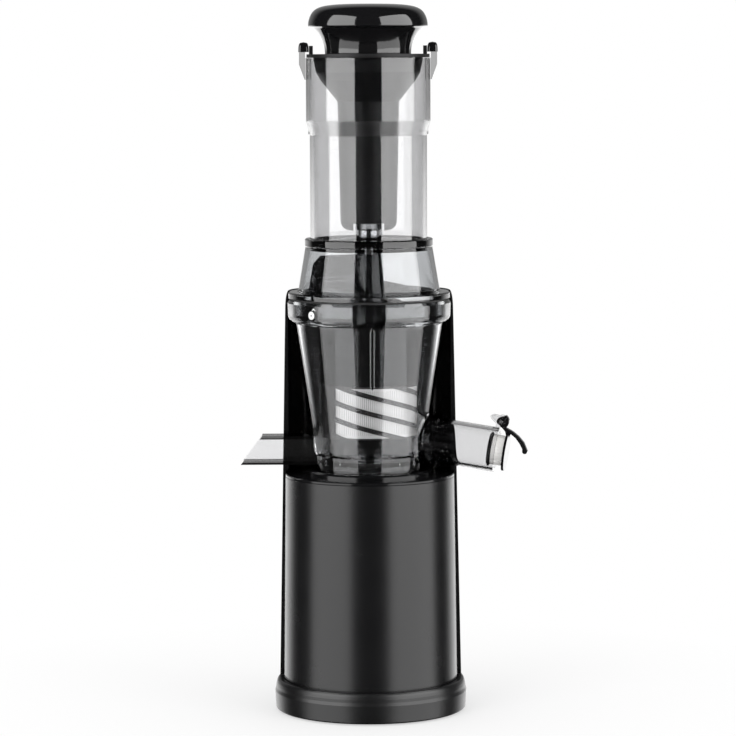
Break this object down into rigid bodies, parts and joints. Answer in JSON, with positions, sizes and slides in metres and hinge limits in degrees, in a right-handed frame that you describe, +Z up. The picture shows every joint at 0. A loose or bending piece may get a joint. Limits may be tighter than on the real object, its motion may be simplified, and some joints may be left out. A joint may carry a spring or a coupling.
{
  "type": "cold press juicer",
  "caption": "Upright cold press juicer: motor drum with rear column, smoke bowl with strainer and auger, capped juice spout, pulp chute, clear hopper and pusher.",
  "frame": {"origin": "on the floor under the drive axis, which the motor, auger, bowl, lid and pusher all share", "axes": "+Z up along the drive axis; the front faces -Y; the juice spout leaves to +X and the pulp chute to -X; the column and the switch are at +Y"},
  "size_m": [0.1622, 0.1094, 0.4],
  "materials": {
    "charcoal_plastic": "satin charcoal",
    "black_plastic": "gloss black",
    "auger_plastic": "smooth black, food-safe",
    "smoke_plastic": "clear with a grey smoke tint",
    "clear_plastic": "clear",
    "dark_clear_plastic": "dark translucent",
    "black_rubber": "matt",
    "zinc_steel": "zinc plated",
    "motor_steel": "plain sheet steel",
    "bearing_steel": "ground",
    "mesh_steel": "stainless, brushed",
    "cast_zinc": "die-cast, bead blasted",
    "magnet_grey": "sintered ferrite",
    "copper_wire": "enamelled copper",
    "carbon": "carbon",
    "gear_nylon": "natural nylon",
    "board_resin": "laminate",
    "circuit_board": "green laminate"
  },
  "bodies": {
    "housing": {"base_ring": "charcoal_plastic", "bottom_plate": "charcoal_plastic", "rubber_feet": "black_rubber", "base_screws": "zinc_steel", "drum_shell": "charcoal_plastic", "rear_shell": "black_plastic", "deck": "black_plastic", "deck_screws": "zinc_steel", "column_spine": "black_plastic", "column_screws": "zinc_steel", "sensor_board": "circuit_board", "cord_gland": "black_rubber", "switch_housing": "black_plastic", "control_board": "circuit_board", "board_screws": "zinc_steel", "motor_can": "motor_steel", "motor_end_bell": "cast_zinc", "motor_bearings": "bearing_steel", "motor_magnets": "magnet_grey", "brush_card": "board_resin", "carbon_brushes": "carbon", "motor_screws": "zinc_steel", "gearbox_case": "cast_zinc", "gearbox_cover": "cast_zinc", "gearbox_screws": "zinc_steel", "lay_shaft": "bearing_steel", "output_bearing": "bearing_steel", "shaft_seal": "black_rubber"},
    "rotor": {"motor_shaft": "bearing_steel", "armature_core": "motor_steel", "armature_winding": "copper_wire", "commutator": "copper_wire", "cooling_fan": "gear_nylon", "motor_pinion": "bearing_steel"},
    "lay_lower": {"lay_gear_lower": "gear_nylon"},
    "centre": {"centre_gear": "gear_nylon"},
    "lay_upper": {"lay_gear_upper": "gear_nylon"},
    "output_drive": {"output_gear": "bearing_steel", "output_shaft": "bearing_steel"},
    "bowl_set": {"bowl": "smoke_plastic", "bowl_seal": "black_rubber", "bowl_magnet": "magnet_grey", "pulp_chute": "clear_plastic", "juice_spout": "clear_plastic", "strainer_frame": "dark_clear_plastic", "strainer_mesh": "mesh_steel", "drip_cap_pin": "mesh_steel"},
    "auger_set": {"auger": "auger_plastic", "auger_socket": "mesh_steel", "auger_pin": "mesh_steel"},
    "drip_cap_set": {"drip_cap": "black_plastic", "drip_cap_seal": "black_rubber"},
    "lid_set": {"lid": "smoke_plastic", "lid_seal": "black_rubber", "hopper": "clear_plastic", "hopper_stops": "black_rubber", "ear_caps": "black_plastic"},
    "pusher_set": {"pusher": "black_plastic", "pusher_knob": "black_plastic"},
    "rocker": {"switch_rocker": "black_plastic"}
  },
  "joints": [
    {"name": "motor_spin", "type": "hinge", "parent": "housing", "child": "rotor", "pos_m": [0, 0, 0.05], "axis": [0, 0, 1], "continuous": true},
    {"name": "lay_lower_spin", "type": "hinge", "parent": "housing", "child": "lay_lower", "pos_m": [0.02025, 0, 0.085], "axis": [0, 0, 1], "continuous": true},
    {"name": "centre_spin", "type": "hinge", "parent": "housing", "child": "centre", "pos_m": [0, 0, 0.092], "axis": [0, 0, 1], "continuous": true},
    {"name": "lay_upper_spin", "type": "hinge", "parent": "housing", "child": "lay_upper", "pos_m": [0.02025, 0, 0.099], "axis": [0, 0, 1], "continuous": true},
    {"name": "output_spin", "type": "hinge", "parent": "housing", "child": "output_drive", "pos_m": [0, 0, 0.12], "axis": [0, 0, 1], "continuous": true},
    {"name": "bowl_lift", "type": "slide", "parent": "housing", "child": "bowl_set", "axis": [0, 0, 1], "range_m": [0, 0.06]},
    {"name": "auger_spin", "type": "hinge", "parent": "bowl_set", "child": "auger_set", "pos_m": [0, 0, 0.2], "axis": [0, 0, 1], "continuous": true},
    {"name": "lid_twist", "type": "hinge", "parent": "bowl_set", "child": "lid_set", "pos_m": [0, 0, 0.235], "axis": [0, 0, 1], "range_deg": [0, 25]},
    {"name": "pusher_slide", "type": "slide", "parent": "lid_set", "child": "pusher_set", "axis": [0, 0, 1], "range_m": [0, 0.1]},
    {"name": "drip_cap_hinge", "type": "hinge", "parent": "bowl_set", "child": "drip_cap_set", "pos_m": [0.07446, -0.01313, 0.16564], "axis": [-0.1736, -0.9848, 0], "range_deg": [0, 100]},
    {"name": "switch_rock", "type": "hinge", "parent": "housing", "child": "rocker", "pos_m": [0, 0.0473, 0.1018], "axis": [1, 0, 0], "range_deg": [-12, 12]}
  ],
  "couplings": [
    {"joint": "lay_lower_spin", "follows": "motor_spin", "ratio": -0.28571},
    {"joint": "centre_spin", "follows": "motor_spin", "ratio": 0.1},
    {"joint": "lay_upper_spin", "follows": "motor_spin", "ratio": -0.028571},
    {"joint": "output_spin", "follows": "motor_spin", "ratio": 0.01},
    {"joint": "auger_spin", "follows": "motor_spin", "ratio": 0.01}
  ]
}
